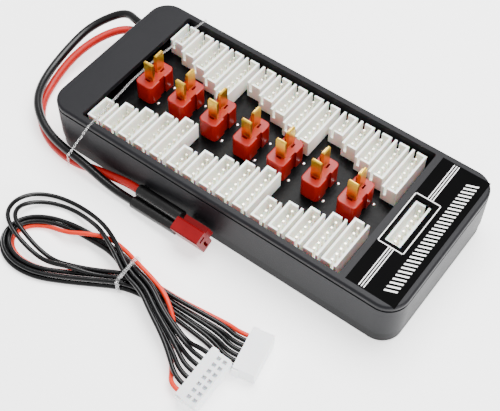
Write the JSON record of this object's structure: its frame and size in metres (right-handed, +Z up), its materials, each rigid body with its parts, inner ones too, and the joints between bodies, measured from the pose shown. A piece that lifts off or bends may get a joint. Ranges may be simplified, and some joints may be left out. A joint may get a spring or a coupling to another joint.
{
  "type": "parallel balance-charging board",
  "caption": "Black plastic case with rows of white balance headers, red two-pole plugs with gold blades, a black and red main lead, and a loose balance lead.",
  "frame": {"origin": "middle of the case's underside, on the table", "axes": "+X towards the end with the label, +Y away from the side where the main connector lies, +Z up"},
  "size_m": [0.1705, 0.1212, 0.03],
  "materials": {
    "case": "satin black moulding",
    "case_base": "satin black moulding",
    "screws": "blackened steel",
    "label": "black with white print",
    "circuit_board": "black solder resist",
    "header_plastic": "ivory nylon",
    "header_pins": "tinned",
    "battery_plug": "red nylon",
    "blades": "gold plated",
    "springs": "gold plated",
    "grommet": "black rubber",
    "wire_tails": "silicone insulation",
    "main_wire_black": "silicone insulation",
    "main_wire_red": "silicone insulation",
    "sleeves": "heat-shrink",
    "main_connector": "dark red nylon",
    "connector_contacts": "gold plated",
    "clear_band": "clear elastic",
    "lead_wire_red": "PVC insulation",
    "lead_wire_black": "PVC insulation",
    "lead_plugs": "white nylon",
    "plug_contacts": "tinned",
    "clear_tie": "clear nylon"
  },
  "bodies": {
    "charging_board": {"balance_headers_1": "header_plastic", "balance_headers_2": "header_plastic", "balance_headers_3": "header_plastic", "balance_headers_4": "header_plastic", "balance_headers_5": "header_plastic", "balance_headers_6": "header_plastic", "battery_plug_1": "battery_plug", "battery_plug_2": "battery_plug", "battery_plug_3": "battery_plug", "battery_plug_4": "battery_plug", "battery_plug_5": "battery_plug", "battery_plug_6": "battery_plug", "battery_plug_7": "battery_plug", "blade_springs": "springs", "bottom_cover": "case_base", "case_screws": "screws", "charge_header": "header_plastic", "charge_header_pins": "header_pins", "clear_band": "clear_band", "connector_contacts": "connector_contacts", "header_pins_1": "header_pins", "header_pins_2": "header_pins", "header_pins_3": "header_pins", "header_pins_4": "header_pins", "header_pins_5": "header_pins", "header_pins_6": "header_pins", "label_plate": "label", "lead_grommet": "grommet", "main_board": "circuit_board", "main_connector": "main_connector", "main_wire_black": "main_wire_black", "main_wire_red": "main_wire_red", "main_wire_tails": "wire_tails", "plug_blades_1": "blades", "plug_blades_2": "blades", "plug_blades_3": "blades", "plug_blades_4": "blades", "plug_blades_5": "blades", "plug_blades_6": "blades", "plug_blades_7": "blades", "top_cover": "case", "wire_sleeves": "sleeves"},
    "balance_lead": {"lead_wire_1": "lead_wire_red", "lead_wire_2": "lead_wire_black", "lead_wire_3": "lead_wire_black", "lead_wire_4": "lead_wire_black", "lead_wire_5": "lead_wire_black", "lead_wire_6": "lead_wire_black", "lead_wire_7": "lead_wire_black", "lead_plug_a": "lead_plugs", "plug_a_contacts": "plug_contacts", "lead_plug_b": "lead_plugs", "plug_b_contacts": "plug_contacts", "lead_tie": "clear_tie"}
  },
  "joints": [
    {"name": "balance_lead_lift", "type": "slide", "parent": "charging_board", "child": "balance_lead", "axis": [0, 0, 1], "range_m": [0, 0.06]}
  ]
}
